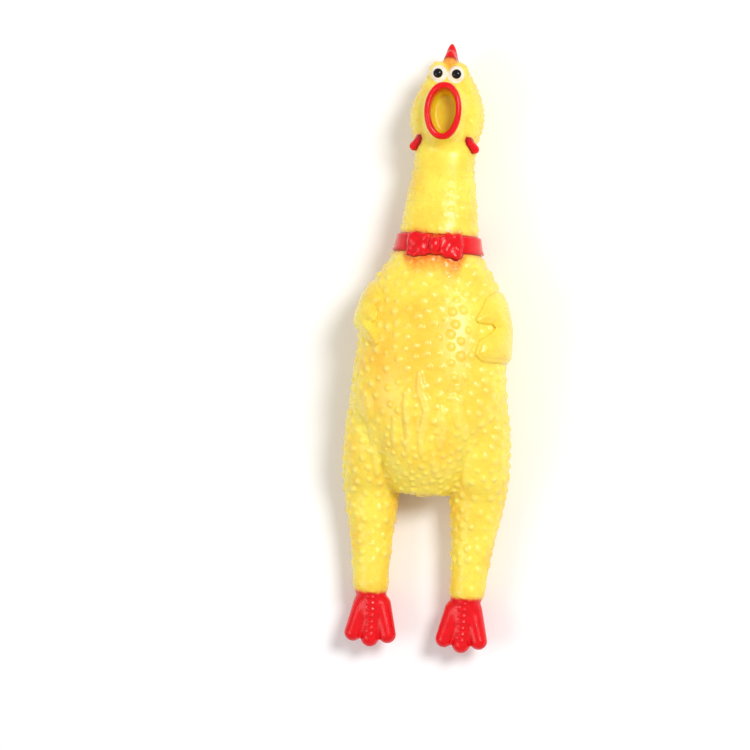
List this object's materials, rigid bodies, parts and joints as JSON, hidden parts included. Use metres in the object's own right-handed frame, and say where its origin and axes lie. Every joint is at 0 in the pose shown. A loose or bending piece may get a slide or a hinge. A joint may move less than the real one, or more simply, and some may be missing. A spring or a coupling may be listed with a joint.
{
  "type": "rubber chicken",
  "caption": "Squeaky soft-vinyl rubber chicken: hollow plucked body with open beak, comb, wattles, collar and bow tie, dangling legs, and a reed squeaker in the head.",
  "frame": {"origin": "on the surface it lies on, under the middle of its length and width", "axes": "it lies on its back: +X to the right of someone facing it, +Y towards the head, +Z out of the belly"},
  "size_m": [0.0468, 0.17, 0.0317],
  "materials": {
    "yellow_vinyl": "glossy translucent yellow soft vinyl",
    "red_paint": "glossy red paint on soft vinyl",
    "white_paint": "glossy white paint on soft vinyl",
    "black_paint": "glossy black paint",
    "squeaker_plastic": "moulded white plastic",
    "reed_film": "thin springy plastic film"
  },
  "bodies": {
    "torso": {"torso_skin": "yellow_vinyl", "belly_flex": "yellow_vinyl", "crotch_web": "yellow_vinyl", "left_wing": "yellow_vinyl", "right_wing": "yellow_vinyl", "collar_band": "red_paint", "bow_tie": "red_paint", "neck_base_flex": "yellow_vinyl", "left_hip_flex": "yellow_vinyl", "right_hip_flex": "yellow_vinyl"},
    "belly": {"belly_panel": "yellow_vinyl"},
    "neck_lower": {"neck_lower": "yellow_vinyl", "neck_middle_flex": "yellow_vinyl"},
    "neck_upper": {"neck_upper": "yellow_vinyl", "throat_flex": "yellow_vinyl"},
    "head": {"head_skin": "yellow_vinyl", "comb": "red_paint", "beak_rim": "red_paint", "mouth_lining": "yellow_vinyl", "left_wattle": "red_paint", "right_wattle": "red_paint", "left_eye": "white_paint", "right_eye": "white_paint", "left_pupil": "black_paint", "right_pupil": "black_paint", "squeaker_sleeve": "yellow_vinyl", "squeaker_barrel": "squeaker_plastic", "reed_block": "squeaker_plastic", "squeaker_cap": "squeaker_plastic"},
    "reed": {"squeaker_reed": "reed_film"},
    "left_thigh": {"left_thigh": "yellow_vinyl", "left_knee_flex": "yellow_vinyl"},
    "left_shin": {"left_shin": "yellow_vinyl", "left_ankle_flex": "yellow_vinyl"},
    "left_foot": {"left_foot": "red_paint"},
    "right_thigh": {"right_thigh": "yellow_vinyl", "right_knee_flex": "yellow_vinyl"},
    "right_shin": {"right_shin": "yellow_vinyl", "right_ankle_flex": "yellow_vinyl"},
    "right_foot": {"right_foot": "red_paint"}
  },
  "joints": [
    {"name": "belly_squeeze", "type": "slide", "parent": "torso", "child": "belly", "axis": [0, 0, -1], "range_m": [0, 0.008], "stiffness_N_per_m": 600, "deforming": ["belly_flex"]},
    {"name": "neck_bend", "type": "hinge", "parent": "torso", "child": "neck_lower", "pos_m": [0, 0.0355, 0.0138], "axis": [1, 0, 0], "range_deg": [-30, 30], "stiffness_Nm_per_rad": 0.3, "deforming": ["neck_base_flex"]},
    {"name": "neck_sway", "type": "hinge", "parent": "neck_lower", "child": "neck_upper", "pos_m": [0, 0.0453, 0.0133], "axis": [0, 0, 1], "range_deg": [-25, 25], "stiffness_Nm_per_rad": 0.25, "deforming": ["neck_middle_flex"]},
    {"name": "head_nod", "type": "hinge", "parent": "neck_upper", "child": "head", "pos_m": [0, 0.0544, 0.012], "axis": [1, 0, 0], "range_deg": [-30, 30], "stiffness_Nm_per_rad": 0.2, "deforming": ["throat_flex"]},
    {"name": "reed_flex", "type": "hinge", "parent": "head", "child": "reed", "pos_m": [0, 0.0669, 0.0102], "axis": [1, 0, 0], "range_deg": [-4, 2], "stiffness_Nm_per_rad": 0.0002},
    {"name": "left_hip_swing", "type": "hinge", "parent": "torso", "child": "left_thigh", "pos_m": [-0.01482, -0.045, 0.0084], "axis": [1, 0, 0], "range_deg": [-45, 30], "stiffness_Nm_per_rad": 0.12, "deforming": ["left_hip_flex"]},
    {"name": "left_leg_splay", "type": "hinge", "parent": "left_thigh", "child": "left_shin", "pos_m": [-0.01431, -0.0547, 0.0084], "axis": [0, 0, 1], "range_deg": [-25, 8], "stiffness_Nm_per_rad": 0.1, "deforming": ["left_knee_flex"]},
    {"name": "left_ankle_bend", "type": "hinge", "parent": "left_shin", "child": "left_foot", "pos_m": [-0.01382, -0.0642, 0.0084], "axis": [1, 0, 0], "range_deg": [-40, 30], "stiffness_Nm_per_rad": 0.06, "deforming": ["left_ankle_flex"]},
    {"name": "right_hip_swing", "type": "hinge", "parent": "torso", "child": "right_thigh", "pos_m": [0.01482, -0.045, 0.0084], "axis": [1, 0, 0], "range_deg": [-45, 30], "stiffness_Nm_per_rad": 0.12, "deforming": ["right_hip_flex"]},
    {"name": "right_leg_splay", "type": "hinge", "parent": "right_thigh", "child": "right_shin", "pos_m": [0.01431, -0.0547, 0.0084], "axis": [0, 0, 1], "range_deg": [-8, 25], "stiffness_Nm_per_rad": 0.1, "deforming": ["right_knee_flex"]},
    {"name": "right_ankle_bend", "type": "hinge", "parent": "right_shin", "child": "right_foot", "pos_m": [0.01382, -0.0642, 0.0084], "axis": [1, 0, 0], "range_deg": [-40, 30], "stiffness_Nm_per_rad": 0.06, "deforming": ["right_ankle_flex"]}
  ]
}
